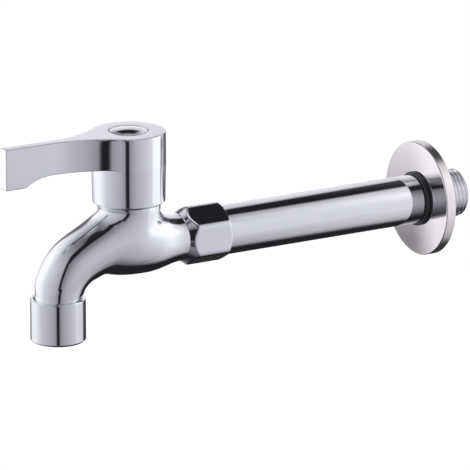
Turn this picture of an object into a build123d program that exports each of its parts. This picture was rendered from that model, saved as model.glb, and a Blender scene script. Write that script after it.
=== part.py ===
from build123d import *
from math import cos, radians, sin, sqrt
import os

# A long wall tap. The wall is the plane Y = 0, the tube comes out of it towards -Y,
# and the origin is on the tube's axis in the plane of the wall plate's back face.

# Reach and heights
WALL_TO_VALVE = 148.0
WALL_TO_NOZZLE = 182.4
HUB_TOP = 49.9
HUB_BOTTOM = 19.2
COLLAR_TOP = -18.0

# Fits and gaps
RUNNING_GAP = 0.05
THREAD_GAP = 0.02
LOOSE_GAP = 0.15

# Wall plate and its washer
PLATE_DIAMETER = 49.8
PLATE_THICKNESS = 4.4
PLATE_HOLE_GAP = 0.3
PLATE_EDGE = 0.5
PLATE_RECESS = 1.6
PLATE_RIM = 3.0
PLATE_COLLAR = 3.2
WASHER_LIP = 1.25
WASHER_THICKNESS = 1.75
WASHER_EDGE = 0.8

# Tube and threaded tail, whose G 1/2 thread sets the tube's other diameters
TAIL_DIAMETER = 20.955
TAIL_LENGTH = 16.5
TAIL_CHAMFER = 1.0
SHANK_RELIEF = 0.48
TUBE_SHOULDER = 0.65
TUBE_EDGE = 0.35
SPIGOT_STEP = 2.32
SPIGOT_WALL = 1.83
SPIGOT_LENGTH = 12.0
SPIGOT_CHAMFER = 0.7
PIPE_SEAL_THICKNESS = 1.0

# Wrench hexagon and waist of the body
WALL_TO_HEX = 104.2
HEX_SIDES = 6
HEX_LENGTH = 15.3
HEX_STEP = 0.85
HEX_CORNER_RADIUS = 3.0
HEX_CHAMFER_LENGTH = 1.4
HEX_CHAMFER_DEPTH = 1.5
HEX_CONE_LENGTH = 4.5
HEX_BLEND = 1.2
WAIST_STEP = 1.45
INLET_BORE = 8.4
INLET_DROP = 2.6

# Valve chamber and neck, whose thread for the valve sets the body's other diameters
VALVE_THREAD_DIAMETER = 20.955
VALVE_THREAD_LENGTH = 8.0
NECK_WALL = 2.92
NECK_TOP = 22.4
BARREL_STEP = 0.8
BARREL_FLARE_LENGTH = 18.0
BARREL_REACH = 8.0
BARREL_REACH_STEP = 1.0
BARREL_END_LENGTH = 12.0
SEAT_HEIGHT = 2.0
WELL_LEDGE = 0.1
WELL_FLOOR = -7.2
CAVITY_SHELF = 1.2
PORT_DIAMETER = 8.0
PORT_RISE = 0.2
PORT_REACH = 12.0
BODY_BLEND = 6.5

# Shoulder, where the neck leans over into the spout, and the spout itself
SHOULDER_CROOK = 0.6
SHOULDER_LEAN = 66.0
SHOULDER_STATIONS = 7
SHOULDER_TAPER = 2.1
SPOUT_BEND_RADIUS = 19.0
SPOUT_BEND_TAPER = 1.15
SPOUT_STATIONS = 5
SPOUT_BORE = 13.0
SPOUT_BORE_WALL = 3.7
SPOUT_THREAD_STEP = 0.25
SPOUT_THREAD_LENGTH = 8.0

# Nozzle collar and aerator
COLLAR_WALL = 1.33
COLLAR_LENGTH = 18.3
COLLAR_FOOT_EDGE = 0.8
COLLAR_RIM_EDGE = 0.25
COLLAR_LIP_HEIGHT = 1.1
COLLAR_LIP = 1.6
AERATOR_WASHER_THICKNESS = 1.8
AERATOR_WASHER_WIDTH = 2.6
AERATOR_NOSE_WALL = 1.2
AERATOR_NOSE_INSET = 0.2
AERATOR_SHELF = 1.0
SCREEN_COUNT = 2
SCREEN_THICKNESS = 0.3
SCREEN_GAP = 0.25
SCREEN_SHELF = 1.4
GRID_HEIGHT = 1.8
GRID_RIM = 0.8
GRID_BAR = 0.7
GRID_PITCH = 2.3

# Lever handle
HUB_TAPER = 0.35
HUB_FOOT_EDGE = 0.8
HUB_TOP_EDGE = 0.3
SKIRT_GAP = 0.55
SKIRT_WALL = 1.5
SKIRT_DEPTH = 12.2
HUB_WALL = 2.8
HUB_ROOF = 2.9
BOSS_DIAMETER = 13.2
LEVER_LENGTH = 59.6
LEVER_WIDTH = 5.4
LEVER_STRAIGHT_FROM = 36.0
LEVER_TIP_DEPTH = 17.4
LEVER_ROOT_DEPTH = 13.5
LEVER_HEEL_FROM = 50.6
LEVER_ARCH_FROM = 38.0
LEVER_HEEL_RADIUS = 3.0
LEVER_EDGE = 0.25
BUTTON_HOLE_DIAMETER = 17.0
BUTTON_HOLE_DEPTH = 3.6
BUTTON_GAP = 0.3
BUTTON_RIM_DROP = 0.1
BUTTON_CROWN = 1.3
BUTTON_WALL = 1.0
BUTTON_FOOT_HEIGHT = 1.5

# Quarter-turn valve
FLANGE_INSET = 0.8
FLANGE_HEIGHT = 1.4
BONNET_HEX_INSET = 2.6
BONNET_HEX_HEIGHT = 3.6
GUIDE_DIAMETER = 13.0
SLEEVE_ROOM = 1.08
SLEEVE_WALL = 1.2
SLEEVE_LIFT = 0.6
WINDOW_WIDTH = 8.0
WINDOW_HEIGHT = 3.6
GASKET_THICKNESS = 1.2
GASKET_GAP = 0.15
SEAT_SEAL_HEIGHT = 2.0
SEAT_SEAL_WIDTH = 1.9
DISC_THICKNESS = 3.0
DISC_PORT_RADIUS = 3.8
DISC_PORT_WIDTH = 3.0
DISC_PORT_SPAN = 32.0
DISC_SLOT_DEPTH = 1.4
THRUST_WASHER_THICKNESS = 0.8
SPINDLE_DIAMETER = 8.0
SPINDLE_TONGUE_WIDTH = 2.6
SPINDLE_TONGUE_LENGTH = 9.6
SPINDLE_WAIST_HEIGHT = 3.0
SPINDLE_WAIST_DIAMETER = 5.6
SPINDLE_FLANGE_HEIGHT = 2.0
SPINDLE_FLANGE_INSET = 0.65
SPLINE_TEETH = 20
SPLINE_ROOT_DIAMETER = 7.2
SPLINE_LENGTH = 8.0
STEM_GROOVE_DEPTH = 1.0
STEM_GROOVE_WIDTH = 1.8
STEM_GROOVE_HEIGHTS = (18.6, 22.2)
O_RING_CORNER = 0.35
CLIP_THICKNESS = 0.8
CLIP_DIAMETER = 11.4
CLIP_GROOVE_DIAMETER = 6.6
CLIP_MOUTH = 5.2
CLIP_HEADROOM = 0.6
SCREW_DIAMETER = 4.0
SCREW_LENGTH = 9.0
SCREW_HOLE_SPARE = 0.6
SCREW_HEAD_DIAMETER = 7.8
SCREW_HEAD_HEIGHT = 2.0
SCREW_HEAD_EDGE = 0.65
SCREW_CROSS_WIDTH = 1.1
SCREW_CROSS_LENGTH = 4.6
SCREW_CROSS_DEPTH = 1.2

# The valve and the nozzle each have an upright axis, and a section plane through it
VALVE_SECTION = Plane.XZ.offset(WALL_TO_VALVE)
VALVE_AXIS = Axis((0, -WALL_TO_VALVE, 0), (0, 0, 1))
NOZZLE_SECTION = Plane.XZ.offset(WALL_TO_NOZZLE)
NOZZLE_AXIS = Axis((0, -WALL_TO_NOZZLE, 0), (0, 0, 1))


def valve_level(height):
    """A level plane centred on the valve's axis."""
    return Plane.XY.offset(height).shift_origin((0, -WALL_TO_VALVE, height))


def nozzle_level(height):
    """A level plane centred on the nozzle's axis."""
    return Plane.XY.offset(height).shift_origin((0, -WALL_TO_NOZZLE, height))


# Tube: a turned piece about the Y axis, from the threaded tail to the spigot
tail_radius = TAIL_DIAMETER / 2
shank_radius = tail_radius - SHANK_RELIEF
tube_radius = shank_radius + TUBE_SHOULDER
spigot_radius = tube_radius - SPIGOT_STEP
tube_bore_radius = spigot_radius - SPIGOT_WALL
shoulder_y = -PLATE_THICKNESS - WASHER_THICKNESS
hex_end_y = -WALL_TO_HEX
spigot_end_y = hex_end_y - SPIGOT_LENGTH
socket_floor_y = spigot_end_y - PIPE_SEAL_THICKNESS

with BuildPart() as extension_pipe:
    with BuildSketch(Plane.XY):
        with BuildLine():
            Polyline(
                (tube_bore_radius, TAIL_LENGTH),
                (tail_radius - TAIL_CHAMFER, TAIL_LENGTH),
                (tail_radius, TAIL_LENGTH - TAIL_CHAMFER),
                (tail_radius, 0),
                (shank_radius, 0),
                (shank_radius, shoulder_y),
                (tube_radius - TUBE_EDGE, shoulder_y),
                (tube_radius, shoulder_y - TUBE_EDGE),
                (tube_radius, hex_end_y),
                (spigot_radius, hex_end_y),
                (spigot_radius, spigot_end_y + SPIGOT_CHAMFER),
                (spigot_radius - SPIGOT_CHAMFER, spigot_end_y),
                (tube_bore_radius, spigot_end_y),
                close=True,
            )
        make_face()
    revolve(axis=Axis.Y)

with BuildPart() as pipe_seal:
    with BuildSketch(Plane.XZ.offset(-spigot_end_y)):
        Circle(spigot_radius)
        Circle(tube_bore_radius, mode=Mode.SUBTRACT)
    extrude(amount=PIPE_SEAL_THICKNESS)

# Wall plate: flat and polished in front, relieved behind between its rim and its collar
plate_radius = PLATE_DIAMETER / 2
plate_hole_radius = tail_radius + PLATE_HOLE_GAP

with BuildPart() as escutcheon:
    with BuildSketch(Plane.XZ):
        Circle(plate_radius)
        Circle(plate_hole_radius, mode=Mode.SUBTRACT)
    extrude(amount=PLATE_THICKNESS)
    front_edges = escutcheon.edges().filter_by(GeomType.CIRCLE).group_by(Axis.Y)[0]
    fillet(front_edges.sort_by(SortBy.RADIUS)[-1], radius=PLATE_EDGE)
    with BuildSketch(Plane.XZ):
        Circle(plate_radius - PLATE_RIM)
        Circle(plate_hole_radius + PLATE_COLLAR, mode=Mode.SUBTRACT)
    extrude(amount=PLATE_RECESS, mode=Mode.SUBTRACT)

with BuildPart() as shoulder_washer:
    with BuildSketch(Plane.XZ.offset(PLATE_THICKNESS)):
        Circle(tube_radius + WASHER_LIP)
        Circle(shank_radius + RUNNING_GAP, mode=Mode.SUBTRACT)
    extrude(amount=WASHER_THICKNESS)
    rims = shoulder_washer.edges().filter_by(GeomType.CIRCLE)
    fillet(rims.group_by(SortBy.RADIUS)[-1], radius=WASHER_EDGE)

# Body casting, its outer form first
hex_front_y = hex_end_y - HEX_LENGTH
waist_y = hex_front_y - HEX_CONE_LENGTH
barrel_y = waist_y - BARREL_FLARE_LENGTH
barrel_reach_y = -WALL_TO_VALVE - BARREL_REACH
hex_flat_radius = tube_radius + HEX_STEP
hex_half_side = 180 / HEX_SIDES
hex_vertex_radius = hex_flat_radius / cos(radians(hex_half_side))
waist_radius = hex_flat_radius - WAIST_STEP
valve_thread_radius = VALVE_THREAD_DIAMETER / 2
neck_radius = valve_thread_radius + NECK_WALL
barrel_radius = neck_radius - BARREL_STEP
spout_bend_radius = neck_radius - SHOULDER_TAPER
spout_tip_radius = spout_bend_radius - SPOUT_BEND_TAPER
spout_thread_radius = spout_tip_radius + SPOUT_THREAD_STEP
bend_start_y = -WALL_TO_NOZZLE + SPOUT_BEND_RADIUS
spout_end_z = -SPOUT_BEND_RADIUS - SPOUT_THREAD_LENGTH


def spout_station(angle):
    """The plane square to the spout at an angle round its bend."""
    turn = radians(angle)
    centre = (
        0,
        bend_start_y - SPOUT_BEND_RADIUS * sin(turn),
        SPOUT_BEND_RADIUS * (cos(turn) - 1),
    )
    inward = (0, sin(turn), -cos(turn))
    return Plane(centre, x_dir=inward, z_dir=(0, -cos(turn), -sin(turn)))


shoulder_bend_radius = neck_radius + SHOULDER_CROOK
shoulder_turn = radians(SHOULDER_LEAN)
spout_join = spout_station(90 - SHOULDER_LEAN)
shoulder_end_y = -WALL_TO_VALVE - shoulder_bend_radius * (1 - cos(shoulder_turn))
shoulder_run = (shoulder_end_y - spout_join.origin.Y) / sin(shoulder_turn)
shoulder_drop = shoulder_bend_radius * sin(shoulder_turn) + shoulder_run * cos(shoulder_turn)
shoulder_top = spout_join.origin.Z + shoulder_drop
shoulder_length = shoulder_bend_radius * shoulder_turn + shoulder_run


def shoulder_station(travel):
    """The plane square to the shoulder at a length along it from the neck."""
    turn = min(travel / shoulder_bend_radius, shoulder_turn)
    run = travel - shoulder_bend_radius * turn
    centre = (
        0,
        -WALL_TO_VALVE - shoulder_bend_radius * (1 - cos(turn)) - run * sin(turn),
        shoulder_top - shoulder_bend_radius * sin(turn) - run * cos(turn),
    )
    return Plane(centre, x_dir=(0, cos(turn), -sin(turn)), z_dir=(0, -sin(turn), -cos(turn)))


with BuildPart() as wrench_end:
    with BuildSketch(Plane.XZ.offset(WALL_TO_HEX)):
        hexagon = RegularPolygon(
            hex_flat_radius, HEX_SIDES, major_radius=False, rotation=hex_half_side
        )
        fillet(hexagon.vertices(), radius=HEX_CORNER_RADIUS)
    extrude(amount=HEX_LENGTH + HEX_CONE_LENGTH)
    with BuildSketch(Plane.XY):
        with BuildLine():
            Polyline(
                (0, waist_y),
                (0, hex_end_y),
                (hex_vertex_radius - HEX_CHAMFER_DEPTH, hex_end_y),
                (hex_vertex_radius, hex_end_y - HEX_CHAMFER_LENGTH),
                (hex_vertex_radius, hex_front_y),
                (waist_radius, waist_y),
                (0, waist_y),
            )
        make_face()
    revolve(axis=Axis.Y, mode=Mode.INTERSECT)
    cone_edges = wrench_end.edges().filter_by_position(
        Axis.Y, waist_y, hex_front_y, inclusive=(False, False)
    )
    fillet(cone_edges.filter_by(GeomType.LINE, reverse=True), radius=HEX_BLEND)

with BuildPart() as tap_body:
    with BuildSketch(shoulder_station(0).offset(shoulder_top - NECK_TOP)):
        Circle(neck_radius)
    for station in range(SHOULDER_STATIONS):
        part_way = station / SHOULDER_STATIONS
        with BuildSketch(shoulder_station(shoulder_length * part_way)):
            Circle(neck_radius - SHOULDER_TAPER * part_way)
    for station in range(SPOUT_STATIONS + 1):
        part_way = station / SPOUT_STATIONS
        with BuildSketch(spout_station(90 - SHOULDER_LEAN * (1 - part_way))):
            Circle(spout_bend_radius - SPOUT_BEND_TAPER * part_way)
    loft()
    with BuildSketch(Plane.YZ):
        with BuildLine():
            Line((waist_y, 0), (waist_y, -waist_radius))
            Spline(
                (waist_y, -waist_radius),
                (barrel_y, -barrel_radius),
                tangents=((-1, 0), (-1, 0)),
            )
            Spline(
                (barrel_y, -barrel_radius),
                (barrel_reach_y, BARREL_REACH_STEP - barrel_radius),
                (barrel_reach_y - BARREL_END_LENGTH, 0),
                tangents=((-1, 0), (0, 1)),
            )
            Line((barrel_reach_y - BARREL_END_LENGTH, 0), (waist_y, 0))
        make_face()
    revolve(axis=Axis.Y)
    fillet(tap_body.edges(Select.NEW), radius=BODY_BLEND)
    add(wrench_end.part)
    with BuildSketch(nozzle_level(-SPOUT_BEND_RADIUS)):
        Circle(spout_thread_radius)
    extrude(amount=-SPOUT_THREAD_LENGTH)

# Waterways of the casting: socket, inlet, well under the seat, cavity, port and spout bore
cavity_top = NECK_TOP - VALVE_THREAD_LENGTH
cavity_radius = valve_thread_radius - CAVITY_SHELF
sleeve_radius = cavity_radius - SLEEVE_ROOM
sleeve_bore_radius = sleeve_radius - SLEEVE_WALL
disc_radius = sleeve_bore_radius - LOOSE_GAP
well_radius = disc_radius - SEAT_SEAL_WIDTH - WELL_LEDGE
port_height = SEAT_HEIGHT + PORT_RISE + PORT_DIAMETER / 2
spout_bore_start_y = -WALL_TO_VALVE - well_radius - SPOUT_BORE_WALL

with BuildPart() as waterways:
    with BuildSketch(Plane.XZ.offset(WALL_TO_HEX)):
        Circle(spigot_radius + THREAD_GAP)
    extrude(amount=SPIGOT_LENGTH + PIPE_SEAL_THICKNESS)
    with BuildSketch(Plane.XZ.offset(-socket_floor_y)):
        with Locations((0, -INLET_DROP)):
            Circle(INLET_BORE / 2)
    extrude(amount=WALL_TO_VALVE + socket_floor_y)
    with BuildSketch(VALVE_SECTION):
        with BuildLine():
            Polyline(
                (0, WELL_FLOOR),
                (well_radius, WELL_FLOOR),
                (well_radius, SEAT_HEIGHT),
                (cavity_radius, SEAT_HEIGHT),
                (cavity_radius, cavity_top),
                (valve_thread_radius + THREAD_GAP, cavity_top),
                (valve_thread_radius + THREAD_GAP, NECK_TOP),
                (0, NECK_TOP),
                close=True,
            )
        make_face()
    revolve(axis=VALVE_AXIS)
    with BuildSketch(Plane.XZ.offset(WALL_TO_VALVE)):
        with Locations((0, port_height)):
            Circle(PORT_DIAMETER / 2)
    extrude(amount=PORT_REACH)
    with BuildLine(Plane.YZ) as spout_path:
        Line((spout_bore_start_y, 0), (bend_start_y, 0))
        bend = JernArc(
            start=(bend_start_y, 0),
            tangent=(-1, 0),
            radius=SPOUT_BEND_RADIUS,
            arc_size=90,
        )
        Line(bend @ 1, (-WALL_TO_NOZZLE, spout_end_z))
    with BuildSketch(Plane.XZ.offset(-spout_bore_start_y)):
        Circle(SPOUT_BORE / 2)
    sweep(path=spout_path.line)

with tap_body:
    add(waterways.part, mode=Mode.SUBTRACT)

# Nozzle collar, screwed over the spout's thread, and the aerator that it clamps
collar_bottom = COLLAR_TOP - COLLAR_LENGTH
collar_bore_radius = spout_thread_radius + THREAD_GAP
collar_radius = collar_bore_radius + COLLAR_WALL
collar_lip_radius = collar_bore_radius - COLLAR_LIP
lip_top = collar_bottom + COLLAR_LIP_HEIGHT
aerator_top = spout_end_z - AERATOR_WASHER_THICKNESS
aerator_radius = collar_bore_radius - LOOSE_GAP
nose_radius = collar_lip_radius - LOOSE_GAP
nose_bottom = collar_bottom + AERATOR_NOSE_INSET
grid_radius = nose_radius - AERATOR_NOSE_WALL
grid_top = nose_bottom + GRID_HEIGHT
screen_stack = SCREEN_COUNT * (SCREEN_THICKNESS + SCREEN_GAP)
screen_radius = aerator_radius - SCREEN_SHELF + LOOSE_GAP

with BuildPart() as nozzle_collar:
    with BuildSketch(NOZZLE_SECTION):
        with BuildLine():
            Polyline(
                (collar_bore_radius, COLLAR_TOP),
                (collar_radius, COLLAR_TOP),
                (collar_radius, collar_bottom),
                (collar_lip_radius, collar_bottom),
                (collar_lip_radius, lip_top),
                (collar_bore_radius, lip_top),
                close=True,
            )
        make_face()
    revolve(axis=NOZZLE_AXIS)
    collar_rims = nozzle_collar.edges().filter_by(GeomType.CIRCLE).group_by(Axis.Z)
    chamfer(collar_rims[0].sort_by(SortBy.RADIUS)[-1], length=COLLAR_FOOT_EDGE)
    fillet(collar_rims[-1].sort_by(SortBy.RADIUS)[-1], radius=COLLAR_RIM_EDGE)

with BuildPart() as aerator_washer:
    with BuildSketch(nozzle_level(aerator_top)):
        Circle(aerator_radius)
        Circle(aerator_radius - AERATOR_WASHER_WIDTH, mode=Mode.SUBTRACT)
    extrude(amount=AERATOR_WASHER_THICKNESS)

with BuildPart() as aerator_housing:
    with BuildSketch(NOZZLE_SECTION):
        with BuildLine():
            Polyline(
                (screen_radius + LOOSE_GAP, aerator_top),
                (aerator_radius, aerator_top),
                (aerator_radius, lip_top),
                (nose_radius, lip_top),
                (nose_radius, nose_bottom),
                (grid_radius, nose_bottom),
                (grid_radius, grid_top),
                (grid_radius - AERATOR_SHELF, grid_top),
                (grid_radius - AERATOR_SHELF, aerator_top - screen_stack),
                (screen_radius + LOOSE_GAP, aerator_top - screen_stack),
                close=True,
            )
        make_face()
    revolve(axis=NOZZLE_AXIS)

with BuildPart() as aerator_screens:
    for screen in range(SCREEN_COUNT):
        lift = screen * (SCREEN_THICKNESS + SCREEN_GAP)
        with BuildSketch(nozzle_level(aerator_top - screen_stack + lift)):
            Circle(screen_radius)
        extrude(amount=SCREEN_THICKNESS)

with BuildPart() as aerator_grid:
    with BuildSketch(nozzle_level(nose_bottom)):
        bar_count = 2 * int(grid_radius / GRID_PITCH) + 1
        with GridLocations(GRID_PITCH, 0, bar_count, 1):
            Rectangle(GRID_BAR, 2 * grid_radius)
        with GridLocations(0, GRID_PITCH, 1, bar_count):
            Rectangle(2 * grid_radius, GRID_BAR)
        Circle(grid_radius - GRID_RIM / 2, mode=Mode.INTERSECT)
    extrude(amount=GRID_HEIGHT)
    with BuildSketch(nozzle_level(nose_bottom)):
        Circle(grid_radius - THREAD_GAP)
        Circle(grid_radius - GRID_RIM, mode=Mode.SUBTRACT)
    extrude(amount=GRID_HEIGHT)

# Bonnet of the valve: sleeve for the discs, thread, flange, hexagon and spindle guide
flange_bottom = NECK_TOP + GASKET_THICKNESS
hex_bottom = flange_bottom + FLANGE_HEIGHT
hex_top = hex_bottom + BONNET_HEX_HEIGHT
flange_radius = neck_radius - FLANGE_INSET
fixed_disc_bottom = SEAT_HEIGHT + SEAT_SEAL_HEIGHT
turning_disc_bottom = fixed_disc_bottom + DISC_THICKNESS
turning_disc_top = turning_disc_bottom + DISC_THICKNESS
spindle_flange_bottom = turning_disc_top + SPINDLE_WAIST_HEIGHT
spindle_flange_top = spindle_flange_bottom + SPINDLE_FLANGE_HEIGHT
spindle_flange_radius = disc_radius - SPINDLE_FLANGE_INSET
bonnet_shoulder = spindle_flange_top + THRUST_WASHER_THICKNESS
spindle_radius = SPINDLE_DIAMETER / 2
guide_bore_radius = spindle_radius + RUNNING_GAP
button_floor = HUB_TOP - BUTTON_HOLE_DEPTH
boss_top = button_floor - HUB_ROOF
boss_bottom = boss_top - SPLINE_LENGTH
spindle_top = boss_top - LOOSE_GAP
clip_bottom = boss_bottom - CLIP_HEADROOM - CLIP_THICKNESS

with BuildPart() as valve_bonnet:
    with BuildSketch(VALVE_SECTION):
        with BuildLine():
            Polyline(
                (sleeve_bore_radius, SEAT_HEIGHT + SLEEVE_LIFT),
                (sleeve_radius, SEAT_HEIGHT + SLEEVE_LIFT),
                (sleeve_radius, cavity_top),
                (valve_thread_radius, cavity_top),
                (valve_thread_radius, flange_bottom),
                (flange_radius, flange_bottom),
                (flange_radius, hex_bottom),
                (GUIDE_DIAMETER / 2, hex_bottom),
                (GUIDE_DIAMETER / 2, clip_bottom),
                (guide_bore_radius, clip_bottom),
                (guide_bore_radius, bonnet_shoulder),
                (sleeve_bore_radius, bonnet_shoulder),
                close=True,
            )
        make_face()
    revolve(axis=VALVE_AXIS)
    with BuildSketch(valve_level(hex_bottom)):
        RegularPolygon(flange_radius - BONNET_HEX_INSET, HEX_SIDES, major_radius=False)
        Circle(guide_bore_radius, mode=Mode.SUBTRACT)
    extrude(amount=BONNET_HEX_HEIGHT)
    with BuildSketch(Plane.YZ.offset(-sleeve_radius)):
        with Locations((-WALL_TO_VALVE, turning_disc_top + WINDOW_HEIGHT / 2)):
            Rectangle(WINDOW_WIDTH, WINDOW_HEIGHT)
    extrude(amount=2 * sleeve_radius, mode=Mode.SUBTRACT)

with BuildPart() as bonnet_gasket:
    with BuildSketch(valve_level(NECK_TOP)):
        Circle(flange_radius)
        Circle(valve_thread_radius + GASKET_GAP, mode=Mode.SUBTRACT)
    extrude(amount=GASKET_THICKNESS)

with BuildPart() as seat_seal:
    with BuildSketch(valve_level(SEAT_HEIGHT)):
        Circle(disc_radius)
        Circle(disc_radius - SEAT_SEAL_WIDTH, mode=Mode.SUBTRACT)
    extrude(amount=SEAT_SEAL_HEIGHT)


def disc_ports(first_angle):
    """Two opposite curved ports, the first centred on an angle."""
    start = first_angle - DISC_PORT_SPAN / 2
    path = CenterArc((0, 0), DISC_PORT_RADIUS, start, DISC_PORT_SPAN, mode=Mode.PRIVATE)
    with PolarLocations(0, 2):
        SlotArc(path, height=DISC_PORT_WIDTH, mode=Mode.SUBTRACT)


with BuildPart() as fixed_disc:
    with BuildSketch(valve_level(fixed_disc_bottom)):
        Circle(disc_radius)
        disc_ports(0)
    extrude(amount=DISC_THICKNESS)

with BuildPart() as turning_disc:
    with BuildSketch(valve_level(turning_disc_bottom)):
        Circle(disc_radius)
        disc_ports(90)
    extrude(amount=DISC_THICKNESS)
    with BuildSketch(valve_level(turning_disc_top)):
        Rectangle(2 * disc_radius, SPINDLE_TONGUE_WIDTH + RUNNING_GAP)
    extrude(amount=-DISC_SLOT_DEPTH, mode=Mode.SUBTRACT)

with BuildPart() as thrust_washer:
    with BuildSketch(valve_level(spindle_flange_top)):
        Circle(spindle_flange_radius)
        Circle(guide_bore_radius, mode=Mode.SUBTRACT)
    extrude(amount=THRUST_WASHER_THICKNESS)


# Spindle: tongue, waist, flange, sealed stem and a splined end with a tapped hole
def spline_outline(clearance):
    """A toothed outline round the spindle's axis, grown by a clearance."""
    tip_radius = spindle_radius + clearance
    root_radius = SPLINE_ROOT_DIAMETER / 2 + clearance
    step = radians(180 / SPLINE_TEETH)
    corners = []
    for tooth in range(SPLINE_TEETH):
        tip_angle = 2 * tooth * step
        root_angle = tip_angle + step
        corners.append((tip_radius * cos(tip_angle), tip_radius * sin(tip_angle)))
        corners.append((root_radius * cos(root_angle), root_radius * sin(root_angle)))
    return Polygon(*corners, align=None)


groove_radius = spindle_radius - STEM_GROOVE_DEPTH
screw_radius = SCREW_DIAMETER / 2
screw_end = button_floor - SCREW_LENGTH

with BuildPart() as spindle:
    with BuildSketch(VALVE_SECTION):
        with BuildLine():
            Polyline(
                (0, turning_disc_top),
                (SPINDLE_WAIST_DIAMETER / 2, turning_disc_top),
                (SPINDLE_WAIST_DIAMETER / 2, spindle_flange_bottom),
                (spindle_flange_radius, spindle_flange_bottom),
                (spindle_flange_radius, spindle_flange_top),
                (spindle_radius, spindle_flange_top),
                (spindle_radius, boss_bottom),
                (0, boss_bottom),
                close=True,
            )
        make_face()
    revolve(axis=VALVE_AXIS)
    with BuildSketch(valve_level(boss_bottom)):
        spline_outline(0)
    extrude(amount=spindle_top - boss_bottom)
    with BuildSketch(valve_level(turning_disc_top)):
        Rectangle(SPINDLE_TONGUE_LENGTH, SPINDLE_TONGUE_WIDTH)
    extrude(amount=-DISC_SLOT_DEPTH + RUNNING_GAP)
    for groove_height in STEM_GROOVE_HEIGHTS:
        with BuildSketch(valve_level(groove_height)):
            Circle(spindle_radius)
            Circle(groove_radius, mode=Mode.SUBTRACT)
        extrude(amount=STEM_GROOVE_WIDTH, mode=Mode.SUBTRACT)
    with BuildSketch(valve_level(clip_bottom)):
        Circle(spindle_radius)
        Circle(CLIP_GROOVE_DIAMETER / 2, mode=Mode.SUBTRACT)
    extrude(amount=CLIP_THICKNESS, mode=Mode.SUBTRACT)
    with BuildSketch(valve_level(spindle_top)):
        Circle(screw_radius)
    extrude(amount=screw_end - SCREW_HOLE_SPARE - spindle_top, mode=Mode.SUBTRACT)

with BuildPart() as spindle_o_rings:
    for groove_height in STEM_GROOVE_HEIGHTS:
        with BuildSketch(VALVE_SECTION):
            ring_middle = (groove_radius + guide_bore_radius) / 2
            ring_depth = guide_bore_radius - groove_radius - 2 * THREAD_GAP
            with Locations((ring_middle, groove_height + STEM_GROOVE_WIDTH / 2)):
                RectangleRounded(
                    ring_depth, STEM_GROOVE_WIDTH - 2 * LOOSE_GAP, O_RING_CORNER
                )
        revolve(axis=VALVE_AXIS)

with BuildPart() as spindle_clip:
    with BuildSketch(valve_level(clip_bottom)):
        Circle(CLIP_DIAMETER / 2)
        Circle(CLIP_GROOVE_DIAMETER / 2 + RUNNING_GAP, mode=Mode.SUBTRACT)
        with Locations((0, -CLIP_DIAMETER / 2)):
            Rectangle(CLIP_MOUTH, CLIP_DIAMETER, mode=Mode.SUBTRACT)
    extrude(amount=CLIP_THICKNESS)

# Lever handle: a hub with a hollow skirt, and a blade that flares into it
skirt_bore_radius = neck_radius + SKIRT_GAP
foot_radius = skirt_bore_radius + SKIRT_WALL
hub_radius = foot_radius + HUB_TAPER
half_width = LEVER_WIDTH / 2
flank_radius = (half_width**2 + LEVER_STRAIGHT_FROM**2 - hub_radius**2) / (
    2 * (hub_radius - half_width)
)
flank_centre_x = half_width + flank_radius
flank_scale = hub_radius / (hub_radius + flank_radius)
flank_end_x = flank_centre_x * flank_scale
flank_end_y = -LEVER_STRAIGHT_FROM * flank_scale
arch_drop = LEVER_TIP_DEPTH - LEVER_ROOT_DEPTH
arch_run = LEVER_HEEL_FROM - LEVER_ARCH_FROM
arch_radius = (arch_run**2 + arch_drop**2) / (2 * arch_drop)
lever_underside = HUB_TOP - LEVER_ROOT_DEPTH
lever_heel = HUB_TOP - LEVER_TIP_DEPTH
lever_tip_y = -WALL_TO_VALVE - LEVER_LENGTH

with BuildPart() as blade:
    with BuildSketch(valve_level(HUB_TOP)):
        with BuildLine():
            RadiusArc(
                (half_width, -LEVER_STRAIGHT_FROM),
                (flank_end_x, flank_end_y),
                flank_radius,
            )
            Line((flank_end_x, flank_end_y), (-flank_end_x, flank_end_y))
            RadiusArc(
                (-flank_end_x, flank_end_y),
                (-half_width, -LEVER_STRAIGHT_FROM),
                flank_radius,
            )
            Polyline(
                (-half_width, -LEVER_STRAIGHT_FROM),
                (-half_width, -LEVER_LENGTH),
                (half_width, -LEVER_LENGTH),
                (half_width, -LEVER_STRAIGHT_FROM),
            )
        make_face()
    extrude(amount=-LEVER_TIP_DEPTH)
    with BuildSketch(Plane.YZ.offset(-hub_radius)):
        with BuildLine():
            Polyline(
                (-WALL_TO_VALVE - LEVER_ARCH_FROM, lever_underside),
                (-WALL_TO_VALVE, lever_underside),
                (-WALL_TO_VALVE, HUB_TOP),
                (lever_tip_y, HUB_TOP),
                (lever_tip_y, lever_heel),
                (-WALL_TO_VALVE - LEVER_HEEL_FROM, lever_heel),
            )
            RadiusArc(
                (-WALL_TO_VALVE - LEVER_HEEL_FROM, lever_heel),
                (-WALL_TO_VALVE - LEVER_ARCH_FROM, lever_underside),
                arch_radius,
            )
        outline = make_face()
        heel = outline.vertices().sort_by_distance(
            (-WALL_TO_VALVE - LEVER_HEEL_FROM, lever_heel)
        )
        fillet(heel[0], radius=LEVER_HEEL_RADIUS)
    extrude(amount=2 * hub_radius, mode=Mode.INTERSECT)

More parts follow.
